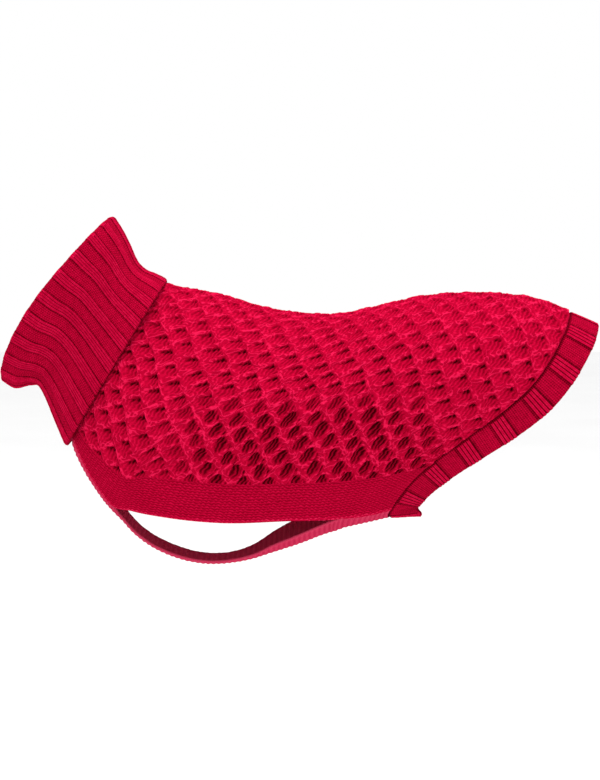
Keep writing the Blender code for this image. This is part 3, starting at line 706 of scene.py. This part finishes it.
def band_pieces(grid, finish):
    """Plain side bands: outer face, bound lower edge and inner face in one."""
    points, normals = grid.band[:, ::2], grid.band_normals[:, ::2]
    distance = grid.band_distance[:, ::2]
    depth = lengths_along(points)
    edge = ramp(3.2, 1.8, depth[-1:] - depth)
    rise = 0.35 * edge + 0.12 * noise(distance, depth, 2.6, 7)
    outer = points + normals * rise[..., None]
    down = unit(points[-1] - points[-2])
    turns = np.radians([30, 60, 90, 120, 150])[:, None, None]
    middle = points[-1] - normals[-1] * WALL / 2
    rim = middle + (WALL / 2 + 0.3) * (np.cos(turns) * normals[-1] + np.sin(turns) * down)
    inner = (points - normals * WALL)[::-4]
    whole = np.concatenate([outer, rim, inner])
    rise_down = np.concatenate([depth, depth[-1:] + WALL * turns[..., 0] / math.pi + 0 * depth[-1:], depth[::-4] + WALL])
    # Painted shade: middling on the faces, lighter along the bound edge and its rim as a painted highlight on the
    # roll.
    painted_shade = np.clip(0.45 - 0.35 * np.concatenate([edge, np.ones_like(rim[..., 0]), 0 * inner[..., 0]]), 0, 1)
    knit = np.stack([distance[0] + 0 * rise_down, rise_down], axis=-1)
    facing = unit(np.cross(np.gradient(whole, axis=0), np.gradient(whole, axis=1)))
    return [
        knit_mesh("band_knit_left", whole, facing, painted_shade, knit, finish),
        knit_mesh("band_knit_right", mirrored(whole)[::-1], mirrored(facing)[::-1], painted_shade[::-1],
                  knit[::-1], finish),
    ]


def inside_piece(grid, finish):
    """Inner face of the back and sides."""
    near = (grid.honey - grid.honey_normals * WALL)[::4, ::4]
    height = honeycomb(grid.honey_distance, grid.rows, grid.honey[..., 0])[0][::4, ::4]
    near = near + 0.8 * height[..., None] * grid.honey_normals[::4, ::4]
    whole = np.concatenate([near[::-1], mirrored(near[1:])])
    rows = np.concatenate([-grid.rows[::4, ::4][::-1], grid.rows[::4, ::4][1:]])
    distance = np.concatenate([grid.honey_distance[::4, ::4][::-1], grid.honey_distance[::4, ::4][1:]])
    # Painted shade, darker where the inner face lies back behind the cords.
    painted_shade = 0.2 + 0.5 * np.concatenate([height[::-1], height[1:]])
    normals = unit(np.cross(np.gradient(whole, axis=0), np.gradient(whole, axis=1)))
    knit = np.stack([distance, rows * ROW_DROP], axis=-1)
    return knit_mesh("back_inside", whole, normals, painted_shade, knit, finish)


# ---- belly panel -----------------------------------------------------------

class BellyChart:
    """Outer face and wall direction of the belly panel."""

    def __init__(self, body):
        self.line = body.band[-1]
        self.line_normals = body.band_normals[-1]
        self.line_down = unit(body.band[-1] - body.band[-2])
        centre = np.array([[row.x, 0.0, row.z] for row in BELLY])
        self.knots = lengths_along(centre)
        self.length = self.knots[-1]

    def body_edge(self, edge_x):
        """Points, wall directions and downward directions on the body's lower edge."""
        stops = self.line[:, 0]
        return [walk(stops, values, edge_x) for values in (self.line, self.line_normals, self.line_down)]

    def sheet(self, distances, shares):
        """Near half of the panel: points and the direction out of the cloth."""
        distances = np.asarray(distances, float)

        def value(name):
            return smooth(self.knots, column(BELLY, name), distances)

        nothing = np.zeros_like(distances)
        centre = np.stack([value("x"), nothing, value("z")], axis=-1)
        edge_x = value("edge_x")
        free_edge = np.stack([edge_x, -value("edge_half"), value("edge_z")], axis=-1)
        curl = np.array([0.0, math.cos(STRIP_EDGE_SLOPE), -math.sin(STRIP_EDGE_SLOPE)])
        sewn_edge, wall, down = self.body_edge(edge_x)
        inside = np.minimum(edge_x - LEG_FRONT_X, LEG_REAR_X - edge_x)
        sewn = np.clip(1 - inside / SEAM_FADE, 0.0, 1.0)[:, None]
        edge = np.where(inside[:, None] > 0, free_edge, sewn_edge) + sewn * SEAM_GAP * down
        span = np.linalg.norm(centre - edge, axis=-1, keepdims=True)
        reach = sewn * np.minimum(SEWN_TURN, span) + (1 - sewn) * span
        leave = (unit(sewn * down + (1 - sewn) * curl) * reach)[:, None]
        arrive = (span * np.array([0.0, 1.0, 0.0]))[:, None]
        t = np.asarray(shares, float)[None, :, None]
        points = (
            (2 * t**3 - 3 * t**2 + 1) * edge[:, None]
            + (t**3 - 2 * t**2 + t) * leave
            + (3 * t**2 - 2 * t**3) * centre[:, None]
            + (t**3 - t**2) * arrive
        )
        if len(distances) < 2:
            return points, None
        across = np.gradient(points, axis=1)
        across[:, -1] = (0, 1, 0)
        normals = unit(np.cross(across, np.gradient(points, axis=0)))
        fade = ((1 - np.asarray(shares)) ** WALL_TURN)[None, :, None] * sewn[:, None]
        return points, unit(normals * (1 - fade) + wall[:, None] * fade)


def belly_piece(belly, finish):
    """Strip with ribs across it, as one loop of outer face, rims and inner face."""
    ribs = round(belly.length / BELLY_RIB_PITCH)
    distances = np.linspace(SEAM_GAP, belly.length - SEAM_GAP, round(belly.length / BELLY_STEP))
    turns = distances / belly.length * ribs
    shares = np.linspace(0.0, 1.0, BELLY_HALF_COLUMNS + 1) ** 1.3
    points, normals = belly.sheet(distances, shares)
    width = np.swapaxes(lengths_along(np.swapaxes(points, 0, 1)), 0, 1)
    rib = 0.5 - 0.5 * np.cos(math.tau * turns[:, None] + 0.25 * noise(turns[:, None] * 9, width, 7.0, 21))
    fuzz = noise(distances[:, None], width, 1.8, 22)
    edge = ramp(4.0, 0.5, width)
    lift = BELLY_RIB_RISE * (0.85 * rib - 0.05) * (1 - 0.8 * edge) + 0.12 * fuzz
    near = points + normals * lift[..., None]
    inner = (points - normals * (WALL + 0.5 * BELLY_RIB_RISE * rib[..., None]))[:, ::2]
    away = unit(points[:, 0] - points[:, 1])[:, None]
    rim_turns = np.radians([150, 110, 70, 30])[None, :, None]
    middle = (points[:, :1] - normals[:, :1] * WALL / 2)
    radius = WALL / 2 + 0.35 + 0.2 * fuzz[:, :1, None]
    rim = middle + radius * (np.cos(rim_turns) * normals[:, :1] + np.sin(rim_turns) * away)
    # From the far edge over the outer face to the near one, and back inside.
    loop = np.concatenate([
        mirrored(near), near[:, -2::-1], rim[:, ::-1], inner, mirrored(inner[:, -2::-1]), mirrored(rim),
    ], axis=1)
    # Painted shade: darker between the ribs, and lighter on them, near the free edge and on the rims as a painted
    # highlight; the inner face is painted lighter, as painted light for the underside, and darker behind its ribs.
    flat_shade = 0.6 - 0.42 * rib - 0.1 * edge
    inner_shade = (0.1 + 0.3 * rib)[:, ::2]
    rim_shade = np.full(rim.shape[:2], 0.12)
    painted_shade = np.concatenate([
        flat_shade, flat_shade[:, -2::-1], rim_shade, inner_shade, inner_shade[:, -2::-1], rim_shade,
    ], axis=1)
    steps = np.linalg.norm(np.diff(loop, axis=1), axis=-1)
    round_ = np.concatenate([np.zeros((len(loop), 1)), np.cumsum(steps, axis=1)], axis=1)
    knit = np.stack([round_, distances[:, None] + 0 * round_], axis=-1)
    return knit_mesh("belly_knit", loop, grid_normals(loop, True), np.clip(painted_shade, 0, 1), knit, finish, True)


# ---- ribbed rings ----------------------------------------------------------

def joined_ring(body, belly, number, distance):
    """Closed line round the neck or the rump, from the spine down the near side."""
    side = np.concatenate([body.honey[:, number], body.band[1:, number]])
    side_normals = np.concatenate([body.honey_normals[:, number], body.band_normals[1:, number]])
    at_end = np.clip([distance - 1, distance, distance + 1], 0.0, belly.length)
    under, under_normals = belly.sheet(at_end, np.linspace(0, 1, 60))
    points = np.concatenate([side, under[1, 1:]])
    normals = np.concatenate([side_normals, under_normals[1, 1:]])
    points = np.concatenate([points, mirrored(points[-2::-1])])
    normals = np.concatenate([normals, mirrored(normals[-2::-1])])
    return points, normals, lengths_along(points)


def ring_at(points, normals, stops, shares):
    """Points and wall directions at shares of one turn round a closed line."""
    where = np.asarray(shares) * stops[-1]
    return walk(stops, points, where), unit(walk(stops, normals, where))


def rib_shares(knit):
    """Shares of one turn for the mesh's columns."""
    count = knit.ribs * knit.columns
    return np.arange(count) / count


def rib_profile(knit, phase):
    """For each phase of a rib's pitch, where 0.5 is the rib's middle: 1 on the
    rib and 0 beside it, the roundness of its wales, and its place in wales."""
    aside = phase - 0.5
    on_rib = ramp(knit.half_share + 0.035, knit.half_share - 0.015, abs(aside))
    before = knit.purl_wales / 2
    wales = np.interp(
        phase,
        [0.0, 0.5 - knit.half_share, 0.5 + knit.half_share, 1.0],
        [0.0, before, before + knit.rib_wales, knit.purl_wales + knit.rib_wales],
    )
    shift = before % 1
    turn = (wales - shift) % 1
    return on_rib, 1 - (2 * turn - 1) ** 2, wales + (1 - shift) % 1


def rib_relief(knit, shares, along, seed):
    """Lift, painted shade, rib share and knit coordinates of a ribbed ring."""
    turns = shares * knit.ribs
    on_rib, rounded, wales = rib_profile(knit, turns % 1)
    wales = wales + np.floor(turns) * (knit.rib_wales + knit.purl_wales)
    across = (wales * WALE)[None, :] + 0 * along
    bumps = 0.5 + 0.5 * np.cos(math.tau * (along / (1.15 * COURSE) + 0.5 * np.floor(wales)[None, :]))
    fuzz = noise(across, along, 1.6, seed)
    knitted = RIB_RISE * (1 - WALE_RISE + WALE_RISE * rounded)[None, :]
    purled = PURL_RISE * bumps * (0.4 + 0.6 * rounded)[None, :]
    lift = on_rib * knitted + (1 - on_rib) * purled + 0.14 * fuzz
    # Painted shade and highlight: lighter on the rounded middles of the wales and on the purl bumps, darker between
    # them.
    painted_shade = on_rib * (0.95 - 0.9 * rounded[None, :] ** 0.6)
    painted_shade = painted_shade + (1 - on_rib) * (0.62 - 0.44 * bumps * (0.4 + 0.6 * rounded)[None, :])
    # A line of painted shade in the groove beside each rib.
    beside = abs(turns % 1 - 0.5) - knit.half_share
    painted_shade = painted_shade + 0.45 * np.exp(-((beside - 0.03) / 0.03) ** 2)
    return lift, np.clip(painted_shade + 0.12 * fuzz, 0, 1), on_rib[None, :] + 0 * along, np.stack([across, along], axis=-1)


# ---- hem -------------------------------------------------------------------

def softened(values, passes):
    """Each row of a closed ring's values drawn towards its neighbours."""
    for _ in range(passes):
        values = (np.roll(values, 1, axis=0) + 2 * values + np.roll(values, -1, axis=0)) / 4
    return values


def hem_directions(line, line_normals, stops, shares):
    """Direction from the seam to the hem's free edge, in the cloth's surface."""
    even = np.linspace(0.0, 1.0, DIRECTION_STEPS + 1)
    points, normals = ring_at(line, line_normals, stops, even[:-1])
    along = np.roll(points, -1, axis=0) - np.roll(points, 1, axis=0)
    away = softened(unit(np.cross(normals, along)), DIRECTION_PASSES)
    return unit(walk(even, np.concatenate([away, away[:1]]), shares))


def hem_piece(body, belly, finish):
    """Ribbed ring from the hem seam out to the free edge and back inside."""
    shares = rib_shares(HEM_KNIT)
    line, line_normals, stops = joined_ring(body, belly, -1, belly.length)
    points, normals = ring_at(line, line_normals, stops, shares)
    away = hem_directions(line, line_normals, stops, shares)
    droop = np.clip(-normals[:, 2:], 0.0, 1.0) ** 2 * np.array([0.0, 0.0, -HEM_DROOP])

    def base(share):
        flat = points + away * (SEAM_GAP + share * HEM_WIDTH) - normals * HEM_DRAW_IN * share**2
        return flat + droop * share

    outer_shares = np.linspace(0.0, 0.965, HEM_ROWS)
    outer = np.stack([base(share) for share in outer_shares])
    along = outer_shares[:, None] * HEM_WIDTH + 0 * shares[None, :]
    lift, painted_shade, rib, knit = rib_relief(HEM_KNIT, (shares + 0.5 / HEM_RIBS) % 1, along, 31)
    rise = ramp(0.0, 2.0, along)
    # Painted shade along the seam, where the hem steps out from the belly.
    painted_shade = np.maximum(painted_shade, 0.95 * ramp(3.0, 1.0, along))
    outer = outer + normals * (lift * rise)[..., None]
    turns = np.radians([25, 60, 95, 130, 160])[:, None, None]
    middle = base(0.965) - normals * WALL / 2
    radius = WALL / 2 + (0.45 * lift[-1] + 0.1)[None, :, None]
    lip = middle + radius * (np.cos(turns) * normals + np.sin(turns) * away)
    inner = np.stack([base(share) - normals * WALL for share in np.linspace(0.95, 0.0, HEM_INNER_ROWS)])
    whole = np.concatenate([outer, lip, inner])
    extra = len(lip) + len(inner)
    beyond = along[-1] + np.linspace(1.0, HEM_WIDTH + WALL, extra)[:, None]
    # The lip and the inner face take the last row's painted shade, a little lighter.
    painted_shade = np.concatenate([painted_shade, np.repeat(painted_shade[-1:] * 0.8, extra, axis=0)])
    rib = np.concatenate([rib, np.repeat(rib[-1:], extra, axis=0)])
    knit = np.concatenate([knit, np.stack([np.repeat(knit[-1:, :, 0], extra, axis=0), beyond], axis=-1)])
    grids = [values[:, ::-1] for values in (whole, painted_shade, knit, rib)]
    facing = grid_normals(grids[0], True)
    return knit_mesh("hem_knit", grids[0], facing, grids[1], grids[2], finish, True, grids[3])


# ---- collar ----------------------------------------------------------------

class CollarChart:
    """Outer face of the folded collar."""

    def __init__(self, shares):
        self.shares = shares

    def ring(self, along):
        """Points of the ring at `along`, evenly paced round the neck."""
        nape = np.array([read(COLLAR, "along", "nape_x", along), 0.0,
                         read(COLLAR, "along", "nape_z", along)])
        throat = np.array([read(COLLAR, "along", "throat_x", along), 0.0,
                           read(COLLAR, "along", "throat_z", along)])
        half_width = np.array([0.0, -read(COLLAR, "along", "half_width", along), 0.0])
        headwards = unit(np.cross(half_width, nape - throat))
        reach = headwards * read(COLLAR, "along", "side_reach", along)
        angle = np.linspace(0.0, 2 * math.pi, 1441)[:, None]
        middle = (nape + throat) / 2
        across, beside = np.cos(angle), np.sin(angle)
        blunt = (abs(across) ** COLLAR_OVAL + abs(beside) ** COLLAR_OVAL) ** (-1 / COLLAR_OVAL)
        line = middle + blunt * ((nape - middle) * across + half_width * beside)
        line = line + reach * beside**2 * (1 - REACH_SKEW * across)
        sag = read(COLLAR, "along", "lip", along) * np.clip(-across, 0.0, 1.0) ** LIP_SHARPNESS
        line = line + unit(throat - nape) * sag
        stops = lengths_along(line)
        return walk(stops, line, self.shares * stops[-1])

    def place(self, along):
        """Ring, outward normals and the direction towards the free edge."""
        ring = self.ring(along)
        down = self.ring(min(along + COLLAR_STEP, 1.0)) - self.ring(max(along - COLLAR_STEP, 0.0))
        around = np.roll(ring, -1, axis=0) - np.roll(ring, 1, axis=0)
        normals = unit(np.cross(around, down))
        middle = ring.mean(axis=0)
        if np.sum(normals[0] * (ring[0] - middle)) < 0:
            normals = -normals
        return ring, normals, unit(down)


def collar_pieces(body, belly, finish):
    """Folded ribbed tube: its outer layer, and the fold with the inner layer."""
    shares = rib_shares(COLLAR_KNIT)
    chart = CollarChart(shares)
    line, line_normals, stops = joined_ring(body, belly, 0, 0.0)
    seam, seam_normals = ring_at(line, line_normals, stops, shares)
    slot_depth = COLLAR_OUTER_WALL + COLLAR_SLOT
    over_seam, over_normals, over_down = chart.place(COLLAR_SEAM)

    def flat(along, depth):
        ring, normals, _ = chart.place(along)
        return ring - normals * depth

    def inner_layer(along, depth):
        """Inner layer's face, drawn to the neck seam as it comes near it."""
        pull = float(np.clip((along - PULL_START) / PULL_LENGTH, 0.0, 1.0)) ** 2
        under_seam = over_seam - over_normals * (slot_depth + depth)
        return flat(along, slot_depth + depth) + (seam - seam_normals * depth - under_seam) * pull

    # Outer layer, from inside its free edge round to the fold.
    alongs = np.linspace(1.0, 0.0, COLLAR_ROWS)
    placed = [chart.place(along) for along in alongs]
    face = np.stack([ring for ring, _, _ in placed])
    normals = np.stack([normal for _, normal, _ in placed])
    along_mm = lengths_along(face)
    along_mm = along_mm[-1:] - along_mm
    lift, painted_shade, rib, knit = rib_relief(COLLAR_KNIT, shares, along_mm, 41)
    rounding = ramp(-0.5, 2.5, along_mm[:1] - along_mm)
    outer = face + normals * (lift * (0.4 + 0.6 * rounding))[..., None]
    edge_turns = np.radians([170, 130, 95, 60, 25])[:, None, None]
    middle = face[0] - normals[0] * COLLAR_OUTER_WALL / 2
    lip = middle + COLLAR_OUTER_WALL / 2 * (np.cos(edge_turns) * normals[0] + np.sin(edge_turns) * placed[0][2])
    slot = np.stack([flat(along, COLLAR_OUTER_WALL) for along in (0.62, 0.8, 0.96)])
    whole = np.concatenate([slot, lip, outer])
    extra = len(slot) + len(lip)
    beyond = along_mm[:1] + np.linspace(30.0, 1.0, extra)[:, None]
    knit = np.concatenate([np.stack([np.repeat(knit[:1, :, 0], extra, axis=0), beyond], axis=-1), knit])
    painted_shade = np.concatenate([np.repeat(painted_shade[:1], extra, axis=0), painted_shade])
    rib = np.concatenate([np.repeat(rib[:1], extra, axis=0), rib])
    outside = knit_mesh("collar_knit", whole, grid_normals(whole, True), painted_shade, knit, finish, True, rib)

    # Fold and inner layer, down to the neck seam and back up in the slot.
    fold_ring, fold_normals, fold_down = chart.place(0.0)
    bulk = (slot_depth + WALL) / 2
    angles = np.radians(np.arange(0, 181, 15))[:, None, None]
    ribbed = (lift[-1] * np.ones_like(angles[..., 0]) * (0.5 + 0.5 * np.cos(angles[..., 0])))[..., None]
    fold = (fold_ring - fold_normals * bulk * (1 - np.cos(angles)) - fold_down * bulk * np.sin(angles)
            + ribbed * (fold_normals * np.cos(angles / 2) - fold_down * np.sin(angles / 2)))
    deeper = np.linspace(0.03, 0.82, 26)
    inside = np.stack([inner_layer(along, WALL) for along in deeper])
    seam_end = seam - over_down * SEAM_GAP
    end = np.stack([seam_end - seam_normals * WALL, seam_end])
    back = np.stack([inner_layer(along, 0.0) for along in (0.74, 0.6, 0.45)])
    whole = np.concatenate([fold, inside, end, back])[:, ::2]
    depth = lengths_along(whole)
    _, painted_shade, rib, knit = rib_relief(COLLAR_KNIT, shares[::2], -depth, 42)
    inner = knit_mesh("collar_inside", whole, grid_normals(whole, True), painted_shade, knit, finish, True, 1 - rib)
    return outside, inner


# ---- the floor, light and camera -------------------------------------------

def build_stage():
    low = CAD_BOX[0][2] - FLOOR_DROP
    mesh = bpy.data.meshes.new("floor")
    reach = 6.0
    corners = [(-reach, -reach, low), (reach, -reach, low), (reach, reach, low), (-reach, reach, low)]
    mesh.from_pydata(corners, [], [(0, 1, 2, 3)])
    floor = bpy.data.objects.new("floor", mesh)
    bpy.context.scene.collection.objects.link(floor)
    nodes = Nodes("floor")
    coordinates = nodes.tree.nodes.new("ShaderNodeTexCoord")
    grain = nodes.add("ShaderNodeTexNoise", Vector=coordinates.outputs["Object"], Scale=3.0)
    tone = nodes.between(grain.outputs[0], ((0.3, (0.90, 0.90, 0.90)), (0.7, (0.93, 0.93, 0.93))))
    nodes.tree.links.new(tone, nodes.shader.inputs["Base Color"])
    nodes.shader.inputs["Roughness"].default_value = 0.9
    mesh.materials.append(nodes.material)

    world = bpy.data.worlds.new("studio")
    bpy.context.scene.world = world
    world.use_nodes = True
    sky = world.node_tree.nodes["Background"]
    sky.inputs["Color"].default_value = (1.0, 1.0, 1.0, 1.0)
    sky.inputs["Strength"].default_value = 1.0

    lamps = (
        ("key", (-0.3, -1.6, 2.0), 1.4, 16.0),
        ("top", (0.2, -0.2, 2.2), 1.2, 26.0),
    )
    for name, place, size, power in lamps:
        lamp = bpy.data.lights.new(name, "AREA")
        lamp.size = size
        lamp.energy = power
        made = bpy.data.objects.new(name, lamp)
        made.location = place
        aim(made, (0.0, 0.0, -0.05))
        bpy.context.scene.collection.objects.link(made)


def aim(thing, target):
    way = Vector(target) - Vector(thing.location)
    thing.rotation_euler = way.to_track_quat("-Z", "Y").to_euler()


def build_camera():
    """The photograph's view: level with the garment and a little above it."""
    distance, elevation = 2.2, math.radians(5)
    target = (0.0, 0.0, -0.0653)
    view_height = 0.702
    camera = bpy.data.cameras.new("camera")
    camera.sensor_fit = "VERTICAL"
    camera.sensor_height = 36.0
    camera.lens = camera.sensor_height * distance / view_height
    made = bpy.data.objects.new("camera", camera)
    made.location = (
        target[0],
        target[1] - distance * math.cos(elevation),
        target[2] + distance * math.sin(elevation),
    )
    aim(made, target)
    bpy.context.scene.collection.objects.link(made)
    bpy.context.scene.camera = made
    bpy.context.scene.view_settings.view_transform = "Standard"


def main():
    grid = BodyGrid()
    honey_finish = yarn_material("honeycomb_wool", HONEY_YARN, strand_stitch, 0.65, 0.6, 0.1)
    band_finish = yarn_material("band_wool", BAND_YARN, band_stitch, 0.75, 0.2, 0.15)
    inside_finish = yarn_material("inside_wool", INSIDE_YARN, purl_stitch, 0.4, 0.5, 0.3)
    back = honeycomb_pieces(grid, honey_finish)
    bands = band_pieces(grid, band_finish)
    inside = inside_piece(grid, inside_finish)
    for piece in back + bands + [inside]:
        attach(piece, "root")
        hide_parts("body_panel")

    belly = BellyChart(grid)
    rib_finish = yarn_material("ribbed_wool", RIB_YARN, rib_stitch, 0.45, 0.4, 0.2)
    belly_finish = yarn_material("belly_wool", BELLY_YARN, purl_stitch, 0.3, 0.3, 0.25)
    ribbed = (
        (belly_piece(belly, belly_finish), "belly_panel", (0.14, 0.33)),
        (hem_piece(grid, belly, rib_finish), "hem_band", (0.06, 0.55)),
    )
    for piece, node, flat in ribbed:
        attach(piece, "root")
        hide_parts(node)
    for piece, flat in zip(collar_pieces(grid, belly, rib_finish), ((0.16, 0.50), (0.16, 0.50))):
        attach(piece, "root")
        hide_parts("collar")
    build_stage()
    build_camera()


main()
